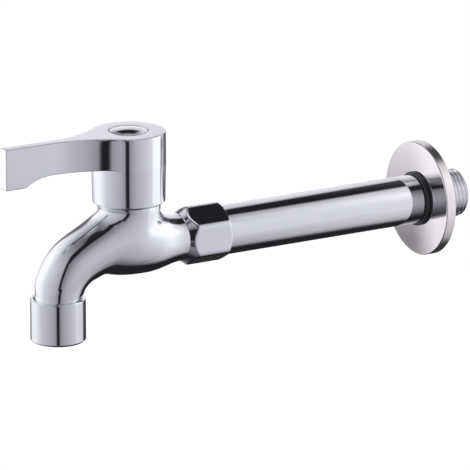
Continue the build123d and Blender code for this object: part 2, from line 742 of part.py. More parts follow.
with BuildPart() as lever_handle:
    with BuildSketch(VALVE_SECTION):
        with BuildLine():
            Polyline(
                (0, HUB_BOTTOM),
                (foot_radius - HUB_FOOT_EDGE, HUB_BOTTOM),
                (foot_radius, HUB_BOTTOM + HUB_FOOT_EDGE),
                (hub_radius, lever_underside),
                (hub_radius, HUB_TOP),
                (0, HUB_TOP),
                close=True,
            )
        make_face()
    revolve(axis=VALVE_AXIS)
    add(blade.part)
    top_edges = lever_handle.faces().sort_by(Axis.Z)[-1].edges()
    fillet(top_edges, radius=HUB_TOP_EDGE)
    tip_edges = lever_handle.edges().filter_by(Axis.Z).group_by(Axis.Y)[0]
    fillet(tip_edges, radius=LEVER_EDGE)
    with BuildSketch(VALVE_SECTION):
        with BuildLine():
            Polyline(
                (0, HUB_BOTTOM),
                (skirt_bore_radius, HUB_BOTTOM),
                (skirt_bore_radius, HUB_BOTTOM + SKIRT_DEPTH),
                (hub_radius - HUB_WALL, HUB_BOTTOM + SKIRT_DEPTH),
                (hub_radius - HUB_WALL, boss_top),
                (BOSS_DIAMETER / 2, boss_top),
                (BOSS_DIAMETER / 2, boss_bottom),
                (0, boss_bottom),
                close=True,
            )
        make_face()
    revolve(axis=VALVE_AXIS, mode=Mode.SUBTRACT)
    with BuildSketch(valve_level(boss_bottom)):
        spline_outline(RUNNING_GAP)
    extrude(amount=boss_top - boss_bottom, mode=Mode.SUBTRACT)
    with BuildSketch(valve_level(button_floor)):
        Circle(BUTTON_HOLE_DIAMETER / 2)
    extrude(amount=BUTTON_HOLE_DEPTH, mode=Mode.SUBTRACT)
    with BuildSketch(valve_level(boss_top)):
        Circle(screw_radius + LOOSE_GAP)
    extrude(amount=HUB_ROOF, mode=Mode.SUBTRACT)

# Screw that holds the lever down, and the domed button that covers it
with BuildPart() as handle_screw:
    with BuildSketch(valve_level(screw_end)):
        Circle(screw_radius - THREAD_GAP)
    extrude(amount=SCREW_LENGTH)
    with BuildSketch(valve_level(button_floor)):
        Circle(SCREW_HEAD_DIAMETER / 2)
    extrude(amount=SCREW_HEAD_HEIGHT)
    head_edges = handle_screw.edges().filter_by(GeomType.CIRCLE).group_by(Axis.Z)[-1]
    fillet(head_edges, radius=SCREW_HEAD_EDGE)
    with BuildSketch(valve_level(button_floor + SCREW_HEAD_HEIGHT)):
        Rectangle(SCREW_CROSS_LENGTH, SCREW_CROSS_WIDTH)
        Rectangle(SCREW_CROSS_WIDTH, SCREW_CROSS_LENGTH)
    extrude(amount=-SCREW_CROSS_DEPTH, mode=Mode.SUBTRACT)

button_foot_radius = BUTTON_HOLE_DIAMETER / 2 - THREAD_GAP
button_radius = BUTTON_HOLE_DIAMETER / 2 - BUTTON_GAP
button_rim = HUB_TOP - BUTTON_RIM_DROP
dome_radius = (button_radius**2 + BUTTON_CROWN**2) / (2 * BUTTON_CROWN)
inner_dome_radius = dome_radius - BUTTON_WALL
button_bore_radius = button_radius - BUTTON_WALL
dome_centre = button_rim + BUTTON_CROWN - dome_radius
inner_dome_rim = dome_centre + sqrt(inner_dome_radius**2 - button_bore_radius**2)

with BuildPart() as index_button:
    with BuildSketch(VALVE_SECTION):
        with BuildLine():
            Polyline(
                (button_bore_radius, inner_dome_rim),
                (button_bore_radius, button_floor),
                (button_foot_radius, button_floor),
                (button_foot_radius, button_floor + BUTTON_FOOT_HEIGHT),
                (button_radius, button_floor + BUTTON_FOOT_HEIGHT),
                (button_radius, button_rim),
            )
            RadiusArc(
                (button_radius, button_rim),
                (0, button_rim + BUTTON_CROWN),
                -dome_radius,
            )
            Line(
                (0, button_rim + BUTTON_CROWN),
                (0, button_rim + BUTTON_CROWN - BUTTON_WALL),
            )
            RadiusArc(
                (0, button_rim + BUTTON_CROWN - BUTTON_WALL),
                (button_bore_radius, inner_dome_rim),
                inner_dome_radius,
            )
        make_face()
    revolve(axis=VALVE_AXIS)

# Every piece becomes one file, named as a person would name it
pieces = {
    "tap_body": tap_body,
    "extension_pipe": extension_pipe,
    "pipe_seal": pipe_seal,
    "escutcheon": escutcheon,
    "shoulder_washer": shoulder_washer,
    "nozzle_collar": nozzle_collar,
    "aerator_washer": aerator_washer,
    "aerator_housing": aerator_housing,
    "aerator_screens": aerator_screens,
    "aerator_grid": aerator_grid,
    "valve_bonnet": valve_bonnet,
    "bonnet_gasket": bonnet_gasket,
    "seat_seal": seat_seal,
    "fixed_disc": fixed_disc,
    "turning_disc": turning_disc,
    "thrust_washer": thrust_washer,
    "spindle": spindle,
    "spindle_o_rings": spindle_o_rings,
    "spindle_clip": spindle_clip,
    "lever_handle": lever_handle,
    "handle_screw": handle_screw,
    "index_button": index_button,
}

os.makedirs("parts", exist_ok=True)
for piece_name, piece in pieces.items():
    piece.part.label = piece_name
    export_step(piece.part, f"parts/{piece_name}.step")
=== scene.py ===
import math

import bmesh
import bpy
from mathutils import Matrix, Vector


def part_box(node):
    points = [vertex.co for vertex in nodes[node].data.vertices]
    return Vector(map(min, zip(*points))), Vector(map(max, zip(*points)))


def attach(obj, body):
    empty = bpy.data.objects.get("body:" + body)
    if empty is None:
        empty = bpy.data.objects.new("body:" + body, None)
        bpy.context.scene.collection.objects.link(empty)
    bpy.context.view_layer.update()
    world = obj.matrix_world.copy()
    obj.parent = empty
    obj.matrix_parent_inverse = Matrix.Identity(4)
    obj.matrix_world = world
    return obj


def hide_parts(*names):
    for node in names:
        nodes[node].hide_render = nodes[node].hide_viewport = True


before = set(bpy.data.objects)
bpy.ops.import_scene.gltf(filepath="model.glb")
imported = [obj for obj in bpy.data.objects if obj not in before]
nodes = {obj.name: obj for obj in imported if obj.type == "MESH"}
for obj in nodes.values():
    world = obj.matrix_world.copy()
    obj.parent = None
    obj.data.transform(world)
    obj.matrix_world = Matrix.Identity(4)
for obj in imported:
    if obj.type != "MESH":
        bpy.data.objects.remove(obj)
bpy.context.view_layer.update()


# Tube: drawn brass pipe with a G 1/2 thread rolled on its tail, plated with chromium.
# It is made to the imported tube's own box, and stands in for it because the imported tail
# is a plain cylinder. It is screwed into the wall and carries everything else.
tube_low, tube_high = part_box("extension_pipe")
TUBE_RADIUS = (tube_high.x - tube_low.x) / 2
TUBE_BORE_RADIUS = 0.0065
SPIGOT_RADIUS = 0.00833
SPIGOT_LENGTH = 0.0120
SPIGOT_CHAMFER = 0.0007
SHANK_RADIUS = 0.0100
SHOULDER_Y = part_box("shoulder_washer")[0].y
SHOULDER_EDGE = 0.0006
SHOULDER_EDGE_STEPS = 4
SHOULDER_LEAD = 1.4 * SHOULDER_EDGE
TAIL_END_Y = tube_high.y
TAIL_CHAMFER = 0.0010
THREAD_RADIUS = 0.0104775
THREAD_PITCH = 0.0254 / 14
THREAD_DEPTH = 0.00116
THREAD_RUN_OUT = 0.0012
THREAD_STRAIGHT_SHARE = 0.35
THREAD_ROUND_SHARE = 0.65
STEPS_ROUND = 144
STEPS_PER_PITCH = 16


def thread_groove(y, turn):
    """Depth of the thread under its crest, rounded at crest and root as a rolled one is."""
    phase = (y / THREAD_PITCH - turn) % 1.0
    slope = abs(2 * phase - 1)
    rounded = slope * slope * (3 - 2 * slope)
    run_out = min(1.0, max(0.0, y / THREAD_RUN_OUT))
    form = THREAD_STRAIGHT_SHARE * slope + THREAD_ROUND_SHARE * rounded
    return THREAD_DEPTH * form * run_out


def tube_profile():
    """Radius and Y of the plain part, from the bore's tail end round to the thread.

    A row just before the rounded shoulder keeps the shading of the long tube straight.
    """
    spigot_y = tube_low.y + SPIGOT_LENGTH
    edge = []
    for step in range(SHOULDER_EDGE_STEPS + 1):
        angle = step * math.pi / 2 / SHOULDER_EDGE_STEPS
        inward = SHOULDER_EDGE * (1 - math.cos(angle))
        short = SHOULDER_EDGE * (1 - math.sin(angle))
        edge.append((TUBE_RADIUS - inward, SHOULDER_Y - short))
    return [
        (TUBE_BORE_RADIUS, TAIL_END_Y),
        (TUBE_BORE_RADIUS, tube_low.y),
        (SPIGOT_RADIUS - SPIGOT_CHAMFER, tube_low.y),
        (SPIGOT_RADIUS, tube_low.y + SPIGOT_CHAMFER),
        (SPIGOT_RADIUS, spigot_y),
        (TUBE_RADIUS, spigot_y),
        (TUBE_RADIUS, SHOULDER_Y - SHOULDER_LEAD),
        *edge,
        (SHANK_RADIUS, SHOULDER_Y),
        (SHANK_RADIUS, 0.0),
    ]


def skin(mesh, sections):
    """Faces from each section, a closed loop of corners, to the next one in the list."""
    for one, two in zip(sections, sections[1:]):
        for corner in range(len(one)):
            after = (corner + 1) % len(one)
            mesh.faces.new((one[corner], one[after], two[after], two[corner]))


tube_mesh = bmesh.new()
thread_rows = round(TAIL_END_Y / THREAD_PITCH * STEPS_PER_PITCH)
columns = []
for step in range(STEPS_ROUND):
    turn = step / STEPS_ROUND
    angle = 2 * math.pi * turn
    section = tube_profile()
    for row in range(thread_rows + 1):
        y = TAIL_END_Y * row / thread_rows
        chamfer_depth = max(0.0, y - (TAIL_END_Y - TAIL_CHAMFER))
        groove = max(thread_groove(y, turn), chamfer_depth)
        section.append((THREAD_RADIUS - groove, y))
    columns.append(
        [
            tube_mesh.verts.new((r * math.sin(angle), y, r * math.cos(angle)))
            for r, y in section
        ]
    )
skin(tube_mesh, columns + columns[:1])

# Chromium plating over polished brass: a cold mirror, which takes nearly all its look from
# the room. Buffing leaves a faint haze in patches and fine lines, softens the edges and
# crowns the top faces, and the plating follows a very slight ripple of the metal under it.
BUFFING_PATCH = 0.007
BUFFING_LINE = 0.0006
METAL_RIPPLE = 0.011
BUFFED_EDGE = 0.0006
EDGE_SAMPLES = 8
CROWN_WIDTH = 0.0040
CROWN_SAMPLES = 16
CROWN_SHARE = 0.14
CROWN_BEGINS_Z = 0.8
CROWN_FULL_Z = 0.97
NOISE_LOW = 0.3
NOISE_HIGH = 0.7


def linear(hex_colour):
    """An sRGB hex colour as the linear RGBA that shaders take."""
    channels = [int(hex_colour[i : i + 2], 16) / 255 for i in (1, 3, 5)]
    return [
        c / 12.92 if c <= 0.04045 else ((c + 0.055) / 1.055) ** 2.4 for c in channels
    ] + [1.0]


def add(tree, kind, settings=None, links=None):
    """Adds a node, sets its inputs or properties by name, and links outputs to inputs."""
    made = tree.nodes.new(kind)
    for name, value in (settings or {}).items():
        if isinstance(name, int) or name in made.inputs:
            made.inputs[name].default_value = value
        else:
            setattr(made, name, value)
    for name, source in (links or {}).items():
        tree.links.new(source, made.inputs[name])
    return made


def new_material(name):
    """An empty node material, its tree, and the coordinates of the piece that has it."""
    material = bpy.data.materials.new(name)
    material.use_nodes = True
    tree = material.node_tree
    tree.nodes.clear()
    return material, tree, add(tree, "ShaderNodeTexCoord").outputs


def noise(tree, place, size, settings=None):
    """Patches of about a size, in metres, over the piece's own coordinates."""
    return add(
        tree,
        "ShaderNodeTexNoise",
        {"Scale": 1 / size, **(settings or {})},
        {"Vector": place["Object"]},
    ).outputs["Fac"]


def spread(tree, source, low, high, start=0.0, end=1.0):
    """A value that goes from low to high while its source goes from start to end."""
    return add(
        tree,
        "ShaderNodeMapRange",
        {"From Min": start, "From Max": end, "To Min": low, "To Max": high},
        {"Value": source},
    ).outputs["Result"]


def blend(tree, share, first, second):
    """A colour that goes from one hex colour to another with a share."""
    return add(
        tree,
        "ShaderNodeMix",
        {"data_type": "RGBA", 6: linear(first), 7: linear(second)},
        {0: share},
    ).outputs[2]


def soft_edge(tree, width, samples):
    """The shading normal of a piece whose edges are rounded over a width."""
    settings = {"samples": samples, "Radius": width}
    return add(tree, "ShaderNodeBevel", settings).outputs["Normal"]


def bump(tree, height, strength, distance, normal=None):
    """A shading normal that follows a height, laid over another normal if one is given."""
    links = {"Height": height}
    if normal is not None:
        links["Normal"] = normal
    settings = {"Strength": strength, "Distance": distance}
    return add(tree, "ShaderNodeBump", settings, links).outputs["Normal"]


def show(tree, surface):
    """Makes a shader the surface of the material."""
    add(tree, "ShaderNodeOutputMaterial", links={"Surface": surface})


def coat(tree, settings, colour, roughness, normal=None):
    """Makes a metal, plastic or ceramic surface from its colour, roughness and normal."""
    links = {"Base Color": colour, "Roughness": roughness}
    if normal is not None:
        links["Normal"] = normal
    show(tree, add(tree, "ShaderNodeBsdfPrincipled", settings, links).outputs["BSDF"])


chromium, tree, place = new_material("chromium_plate_polished")
patches = noise(tree, place, BUFFING_PATCH, {"Detail": 3.0, "Roughness": 0.6})
ripple = noise(tree, place, METAL_RIPPLE, {"Detail": 0.0})
lines = noise(tree, place, BUFFING_LINE, {"Detail": 1.0})
lean = add(tree, "ShaderNodeSeparateXYZ", links={"Vector": place["Normal"]})
crown_share = spread(
    tree,
    lean.outputs["Z"],
    low=0.0,
    high=CROWN_SHARE,
    start=CROWN_BEGINS_Z,
    end=CROWN_FULL_Z,
)
crown = add(
    tree,
    "ShaderNodeMix",
    {"data_type": "VECTOR"},
    {
        0: crown_share,
        4: soft_edge(tree, BUFFED_EDGE, EDGE_SAMPLES),
        5: soft_edge(tree, CROWN_WIDTH, CROWN_SAMPLES),
    },
)
rippled = bump(tree, ripple, strength=0.05, distance=0.0004, normal=crown.outputs[1])
coat(
    tree,
    {"Metallic": 1.0},
    blend(tree, patches, "#E4E5EB", "#E9EAEE"),
    spread(tree, patches, low=0.028, high=0.062, start=NOISE_LOW, end=NOISE_HIGH),
    bump(tree, lines, strength=0.04, distance=0.00001, normal=rippled),
)

EDGE_ANGLE = math.radians(32)


def new_object(name, mesh, material):
    """An object in the scene, made of a bmesh and one material."""
    data = bpy.data.meshes.new(name)
    mesh.to_mesh(data)
    mesh.free()
    data.materials.append(material)
    made = bpy.data.objects.new(name, data)
    bpy.context.scene.collection.objects.link(made)
    return made


def new_piece(name, mesh, material, body):
    """A smooth-shaded piece of the tap, with its sharp edges kept, riding on a body."""
    bmesh.ops.recalc_face_normals(mesh, faces=mesh.faces)
    piece = new_object(name, mesh, material)
    piece.data.polygons.foreach_set("use_smooth", [True] * len(piece.data.polygons))
    piece.data.set_sharp_from_angle(angle=EDGE_ANGLE)
    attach(piece, body)
    return piece


tube = new_piece("plated_tube", tube_mesh, chromium, "tap")
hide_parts("extension_pipe")


# Wall plate: a turned disc of stainless steel, a little softer and warmer than the plating,
# polished a touch round towards its rim, and duller on its side. It is only held by the
# washer, which the tube's shoulder presses on it.
POLISHING_RING = 0.00035
PLATE_CROWN = 1.4
WAVE_UNIT = 2 * math.pi / 20


def tool_marks(tree, vector, axis, width, distortion):
    """Fine rings of a width round an axis, as a turning tool or a wheel leaves them.

    WAVE_UNIT is how wide a wave texture's rings are at scale 1.
    """
    return add(
        tree,
        "ShaderNodeTexWave",
        {
            "wave_type": "RINGS",
            "rings_direction": axis,
            "Scale": WAVE_UNIT / width,
            "Distortion": distortion,
            "Detail": 1.0,
        },
        {"Vector": vector},
    ).outputs["Fac"]


stainless_plate, tree, place = new_material("stainless_steel_polished")
rings = tool_marks(tree, place["Object"], "Y", POLISHING_RING, distortion=1.5)
rim_edge = soft_edge(tree, BUFFED_EDGE, EDGE_SAMPLES)
flat_normal = bump(tree, rings, strength=0.05, distance=0.00001, normal=rim_edge)
outward = add(
    tree,
    "ShaderNodeVectorMath",
    {"operation": "MULTIPLY", 1: (PLATE_CROWN, 0.0, PLATE_CROWN)},
    {0: place["Object"]},
)
leaning = add(
    tree,
    "ShaderNodeVectorMath",
    {"operation": "ADD"},
    {0: flat_normal, 1: outward.outputs["Vector"]},
)
crowned = add(
    tree,
    "ShaderNodeVectorMath",
    {"operation": "NORMALIZE"},
    {0: leaning.outputs["Vector"]},
)
cloud = noise(tree, place, BUFFING_PATCH, {"Detail": 4.0, "Roughness": 0.6})
lean = add(tree, "ShaderNodeSeparateXYZ", links={"Vector": place["Normal"]})
facing_out = add(
    tree, "ShaderNodeMath", {"operation": "ABSOLUTE"}, {0: lean.outputs["Y"]}
)
side_haze = spread(
    tree, facing_out.outputs["Value"], low=0.2, high=0.0, start=0.4, end=0.9
)
cloud_haze = spread(
    tree, cloud, low=0.045, high=0.075, start=NOISE_LOW, end=NOISE_HIGH
)
steel_haze = add(
    tree, "ShaderNodeMath", {"operation": "ADD"}, {0: cloud_haze, 1: side_haze}
)
coat(
    tree,
    {"Metallic": 1.0},
    blend(tree, cloud, "#EAE4E6", "#F0EBEC"),
    steel_haze.outputs["Value"],
    crowned.outputs["Vector"],
)


def finish_node(name, material):
    """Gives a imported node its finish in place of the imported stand-in."""
    slots = nodes[name].data.materials
    slots.clear()
    slots.append(material)


finish_node("escutcheon", stainless_plate)

# Rubber rings: moulded nitrile, black with a soft gloss, and with a fine grain from the
# mould. The big one shows between the tube's shoulder and the plate, the others seal the
# joints of tube, spout and valve.
RUBBER_GRAIN = 0.00025
nitrile, tree, place = new_material("nitrile_rubber_moulded")
grain = noise(tree, place, RUBBER_GRAIN, {"Detail": 2.0})
pressed_edge = soft_edge(tree, BUFFED_EDGE, EDGE_SAMPLES)
coat(
    tree,
    {"IOR": 1.52},
    blend(tree, grain, "#0F0F11", "#1D1D20"),
    spread(tree, grain, low=0.2, high=0.3),
    bump(tree, grain, strength=0.2, distance=0.00004, normal=pressed_edge),
)

for ring in (
    "shoulder_washer",
    "pipe_seal",
    "aerator_washer",
    "bonnet_gasket",
    "seat_seal",
    "spindle_o_rings",
):
    finish_node(ring, nitrile)


# Body and nozzle collar: the body is cast brass with its wrench hexagon, waist, valve neck
# and bent spout in one piece, ground, polished and plated. The collar is turned from bar,
# plated the same way, and screwed up over the spout's end.
finish_node("tap_body", chromium)
finish_node("nozzle_collar", chromium)

# Grinding belts run over the joins of neck, spout and barrel, so that reflections flow over
# them without a break. The shape stays; only its shading normals are evened out there. The
# belts' reach is given by an axis, where grinding begins on it, and where it is full.
SKIN_GRID = 0.0005
BELT_PASSES = 280
BELT_REACH = (
    ("Z", -0.0165, -0.0125),
    ("Z", 0.0180, 0.0140),
    ("Y", -0.1265, -0.1305),
)
belts = bpy.data.node_groups.new("belt_grinding", "GeometryNodeTree")
belts.interface.new_socket("Mesh", in_out="INPUT", socket_type="NodeSocketGeometry")
belts.interface.new_socket("Mesh", in_out="OUTPUT", socket_type="NodeSocketGeometry")
casting = add(belts, "NodeGroupInput")
bulk = add(
    belts,
    "GeometryNodeMeshToVolume",
    {
        "resolution_mode": "VOXEL_SIZE",
        "Voxel Size": SKIN_GRID,
        "Interior Band Width": 3 * SKIN_GRID,
    },
    {"Mesh": casting.outputs["Mesh"]},
)
even_skin = add(
    belts, "GeometryNodeVolumeToMesh", links={"Volume": bulk.outputs["Volume"]}
)
spot = add(belts, "GeometryNodeInputPosition")
along = add(belts, "ShaderNodeSeparateXYZ", links={"Vector": spot.outputs["Position"]})
reach = None
for axis, begins, full in BELT_REACH:
    fade = add(
        belts,
        "ShaderNodeMapRange",
        {"interpolation_type": "SMOOTHSTEP", "From Min": begins, "From Max": full},
        {"Value": along.outputs[axis]},
    )
    if reach is None:
        reach = fade.outputs["Result"]
    else:
        reach = add(
            belts,
            "ShaderNodeMath",
            {"operation": "MULTIPLY"},
            {0: reach, 1: fade.outputs["Result"]},
        ).outputs["Value"]
facing = add(belts, "GeometryNodeInputNormal")
evened = add(
    belts,
    "GeometryNodeBlurAttribute",
    {"data_type": "FLOAT_VECTOR", "Iterations": BELT_PASSES},
    {"Value": facing.outputs["Normal"], "Weight": reach},
)
marked_skin = add(
    belts,
    "GeometryNodeStoreNamedAttribute",
    {"data_type": "FLOAT_VECTOR", "domain": "POINT", "Name": "evened"},
    {"Geometry": even_skin.outputs["Mesh"], "Value": evened.outputs["Value"]},
)
marks = add(
    belts,
    "GeometryNodeInputNamedAttribute",
    {"data_type": "FLOAT_VECTOR", "Name": "evened"},
)
ground_normal = add(
    belts,
    "GeometryNodeSampleNearestSurface",
    {"data_type": "FLOAT_VECTOR"},
    {
        "Mesh": marked_skin.outputs["Geometry"],
        "Value": marks.outputs["Attribute"],
        "Sample Position": spot.outputs["Position"],
    },
)
mixed_normal = add(
    belts,
    "ShaderNodeMix",
    {"data_type": "VECTOR"},
    {0: reach, 4: facing.outputs["Normal"], 5: ground_normal.outputs["Value"]},
)
unit_normal = add(
    belts,
    "ShaderNodeVectorMath",
    {"operation": "NORMALIZE"},
    {0: mixed_normal.outputs[1]},
)
polished = add(
    belts,
    "GeometryNodeSetMeshNormal",
    {"mode": "FREE", "domain": "CORNER"},
    {"Mesh": casting.outputs["Mesh"], "Custom Normal": unit_normal.outputs["Vector"]},
)
add(belts, "NodeGroupOutput", links={"Mesh": polished.outputs["Mesh"]})
grinding = nodes["tap_body"].modifiers.new("belt_grinding", "NODES")
grinding.node_group = belts


# Aerator: a white acetal housing with a square grid at its foot, moulded and satin, which
# the collar clamps under the rubber washer. The valve's slippery washer is acetal too.
MOULD_TEXTURE = 0.0004
acetal, tree, place = new_material("acetal_moulded")
texture = noise(tree, place, MOULD_TEXTURE, {"Detail": 2.0})
coat(
    tree,
    {"IOR": 1.48},
    blend(tree, texture, "#E3E4E2", "#EDEEEC"),
    spread(tree, texture, low=0.3, high=0.42),
    bump(tree, texture, strength=0.2, distance=0.00003),
)

for moulding in ("aerator_housing", "aerator_grid", "thrust_washer"):
    finish_node(moulding, acetal)

# Woven screens: two discs of bright steel wire, over one and under the next, with a flat
# rim pressed on, which lie in the housing. The weave is a little coarser than a real one,
# so that it shows.
WIRE_DRAWING = 0.0002
steel_wire, tree, place = new_material("stainless_steel_drawn_wire")
drawn = noise(tree, place, WIRE_DRAWING, {"Detail": 2.0})
coat(
    tree,
    {"Metallic": 1.0},
    blend(tree, drawn, "#B9B7B2", "#CFCECA"),
    spread(tree, drawn, low=0.18, high=0.34),
)

screen_low, screen_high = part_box("aerator_screens")
SCREEN_CENTRE_Y = (screen_low.y + screen_high.y) / 2
SCREEN_RADIUS = (screen_high.x - screen_low.x) / 2
SCREEN_DEPTH = 0.0003
SCREEN_TURN = math.radians(45)
WIRE_RADIUS = 0.00008
WIRE_SLACK = 0.85
WIRE_PITCH = 0.0008
WIRE_SIDES = 6
STEPS_PER_WIRE = 4
RIM_WIDTH = 0.0007
RIM_HALF_DEPTH = SCREEN_DEPTH * 0.45
RIM_STEPS = 72


def weave_wire(mesh, across, first_sign, height, heading):
    """One wire of a screen, waving over and under the wires that it crosses.

    It is a little thinner than its waves are high, so that crossing wires don't touch.
    """
    half = math.sqrt((SCREEN_RADIUS - RIM_WIDTH / 2) ** 2 - across**2)
    count = max(STEPS_PER_WIRE, round(2 * half / WIRE_PITCH * STEPS_PER_WIRE))
    along_axis = Vector((math.cos(heading), math.sin(heading), 0))
    across_axis = Vector((-math.sin(heading), math.cos(heading), 0))
    sections = []
    for step in range(count + 1):
        along = -half + 2 * half * step / count
        wave = first_sign * WIRE_RADIUS * math.cos(math.pi * along / WIRE_PITCH)
        centre = Vector((0, SCREEN_CENTRE_Y, height + wave))
        centre += along_axis * along + across_axis * across
        section = []
        for side in range(WIRE_SIDES):
            angle = 2 * math.pi * side / WIRE_SIDES
            out = across_axis * math.cos(angle) + Vector((0, 0, math.sin(angle)))
            section.append(mesh.verts.new(centre + out * WIRE_RADIUS * WIRE_SLACK))
        sections.append(section)
    skin(mesh, sections)


def pressed_rim(mesh, height):
    """The flat rim of a screen, a thin ring with its wires' ends pressed into it."""
    profile = [
        (SCREEN_RADIUS, height - RIM_HALF_DEPTH),
        (SCREEN_RADIUS, height + RIM_HALF_DEPTH),
        (SCREEN_RADIUS - RIM_WIDTH, height + RIM_HALF_DEPTH),
        (SCREEN_RADIUS - RIM_WIDTH, height - RIM_HALF_DEPTH),
    ]
    sections = []
    for step in range(RIM_STEPS):
        angle = 2 * math.pi * step / RIM_STEPS
        section = []
        for r, z in profile:
            x = r * math.cos(angle)
            y = SCREEN_CENTRE_Y + r * math.sin(angle)
            section.append(mesh.verts.new((x, y, z)))
        sections.append(section)
    skin(mesh, sections + sections[:1])


screen_mesh = bmesh.new()
for height, heading in (
    (screen_low.z + SCREEN_DEPTH / 2, 0.0),
    (screen_high.z - SCREEN_DEPTH / 2, SCREEN_TURN),
):
    square = heading + math.pi / 2
    wires_each_side = int((SCREEN_RADIUS - RIM_WIDTH) / WIRE_PITCH)
    for wire in range(-wires_each_side, wires_each_side + 1):
        sign = 1 if wire % 2 else -1
        weave_wire(screen_mesh, wire * WIRE_PITCH, sign, height, heading)
        weave_wire(screen_mesh, wire * WIRE_PITCH, -sign, height, square)
    pressed_rim(screen_mesh, height)
screens = new_piece("woven_screens", screen_mesh, steel_wire, "tap")
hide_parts("aerator_screens")


# Valve: a turned brass bonnet screwed into the body's neck, with a brass spindle in it
# that turns the upper of two ceramic discs. Turning leaves fine rings on the brass.
VALVE_Y = -0.148
TURNING_RING = 0.0003
brass, tree, place = new_material("brass_turned")
on_axis = add(
    tree,
    "ShaderNodeMapping",
    {"Location": (0.0, -VALVE_Y, 0.0)},
    {"Vector": place["Object"]},
)
rings = tool_marks(
    tree, on_axis.outputs["Vector"], "Z", TURNING_RING, distortion=0.8
)
cloud = noise(tree, place, BUFFING_PATCH, {"Detail": 4.0})
coat(
    tree,
    {"Metallic": 1.0},
    blend(tree, cloud, "#D9B65C", "#E5C878"),
    spread(tree, cloud, low=0.2, high=0.36),
    bump(tree, rings, strength=0.3, distance=0.00002),
)

finish_node("valve_bonnet", brass)
finish_node("spindle", brass)

# Discs: fired alumina, ground and lapped flat, off white with a faint speckle. The clip
# that keeps the spindle from falling in and the handle's screw are stainless steel.
ALUMINA_SPECK = 0.0003
alumina, tree, place = new_material("alumina_ceramic_lapped")
specks = add(
    tree,
    "ShaderNodeTexVoronoi",
    {"Scale": 1 / ALUMINA_SPECK},
    {"Vector": place["Object"]},
).outputs["Distance"]
coat(
    tree,
    {"IOR": 1.76},
    blend(tree, specks, "#F1EEE4", "#E4E0D3"),
    spread(tree, specks, low=0.12, high=0.22),
    bump(tree, specks, strength=0.1, distance=0.00001),
)

finish_node("fixed_disc", alumina)
finish_node("turning_disc", alumina)
finish_node("spindle_clip", steel_wire)
finish_node("handle_screw", steel_wire)


# Lever handle: a die-cast hub with a flat blade flaring into it, plated like the body. It
# sits on the spindle's spline, and a plain domed button covers the screw that holds it.
finish_node("lever_handle", chromium)
finish_node("index_button", chromium)


# Floor and world: a plain white floor far under the tap, in an even white room. The floor
# can be looked through from below.
FLOOR_Z = -0.50
FLOOR_HALF = 30.0
FLOOR_GRAIN = 0.02
floor_paint, tree, place = new_material("floor_paint_matt")
floor_grain = noise(tree, place, FLOOR_GRAIN)
paint = add(
    tree,
    "ShaderNodeBsdfPrincipled",
    {"Base Color": linear("#FFFFFF"), "Specular IOR Level": 0.0},
    {"Roughness": spread(tree, floor_grain, low=0.85, high=0.95)},
)
side = add(tree, "ShaderNodeNewGeometry")
unseen = add(tree, "ShaderNodeBsdfTransparent")
one_sided = add(
    tree,
    "ShaderNodeMixShader",
    links={
        0: side.outputs["Backfacing"],
        1: paint.outputs["BSDF"],
        2: unseen.outputs["BSDF"],
    },
)
show(tree, one_sided.outputs["Shader"])
floor_mesh = bmesh.new()
floor_mesh.faces.new(
    [
        floor_mesh.verts.new((x * FLOOR_HALF, y * FLOOR_HALF, FLOOR_Z))
        for x, y in ((-1, -1), (1, -1), (1, 1), (-1, 1))
    ]
)
floor = new_object("floor", floor_mesh, floor_paint)

room = bpy.data.worlds.new("room")
bpy.context.scene.world = room
room.use_nodes = True
room.node_tree.nodes.clear()
air = add(
    room.node_tree,
    "ShaderNodeBackground",
    {"Color": linear("#FFFFFF"), "Strength": 1.0},
)
add(
    room.node_tree,
    "ShaderNodeOutputWorld",
    links={"Surface": air.outputs["Background"]},
)


# Light tent: what polished metal shows. White cloth stands all round the tap; its light is
# a painted glow, brighter and darker round the tap and up it, as cloth lit unevenly from
# outside would look, with painted shade under the tap. It is only there for reflections.
# Azimuths run from the front towards +X and elevations from the level upwards, both in
# degrees.
TENT_RADIUS = 0.45
TENT_CENTRE = Vector((0, -0.12, 0))
TENT_SEGMENTS = 96
TENT_RINGS = 48
TENT_FRONT_TURN = math.radians(-90)
CLOTH_GLOW = 1.26
# The cloth's painted light and shade: its glow round the tap and up it, as hex colours.
TENT_ROUND = (
    (-180, "#E8E8EC"),
    (-145, "#C8C8CC"),
    (-112, "#F0F0F4"),
    (-90, "#A8A8AC"),
    (-78, "#F0F0F4"),
    (-54, "#FFFFFF"),
    (-36, "#FAFAFC"),
    (-10, "#D0D0D4"),
    (36, "#A8A8AC"),
    (56, "#808084"),
    (76, "#A8A8AC"),
    (132, "#D8D8DC"),
    (144, "#FFFFFF"),
)
TENT_RISE = (
    (-90, "#202022"),
    (-72, "#303032"),
    (-54, "#A0A0A2"),
    (-42, "#CACACC"),
    (-10, "#FAFAFC"),
    (26, "#FFFFFF"),
    (45, "#E2E2E4"),
    (68, "#909092"),
    (78, "#FFFFFF"),
)


def cloth_ramp(tree, source, stops):
    """The cloth's brightness along a source, from pairs of a position and a hex colour."""
    ramp = add(tree, "ShaderNodeValToRGB", links={"Fac": source})
    elements = ramp.color_ramp.elements
    for position, colour in stops[1:-1]:
        elements.new(position)
    for element, (position, colour) in zip(elements, stops):
        element.position = position
        element.color = linear(colour)
    return ramp.outputs["Color"]


def reflected_only(made):
    """Stands a part of the stage round the tap, where only reflections see it."""
    made.location = TENT_CENTRE
    made.visible_camera = False
    made.visible_diffuse = False
    made.visible_shadow = False
    made.visible_transmission = False


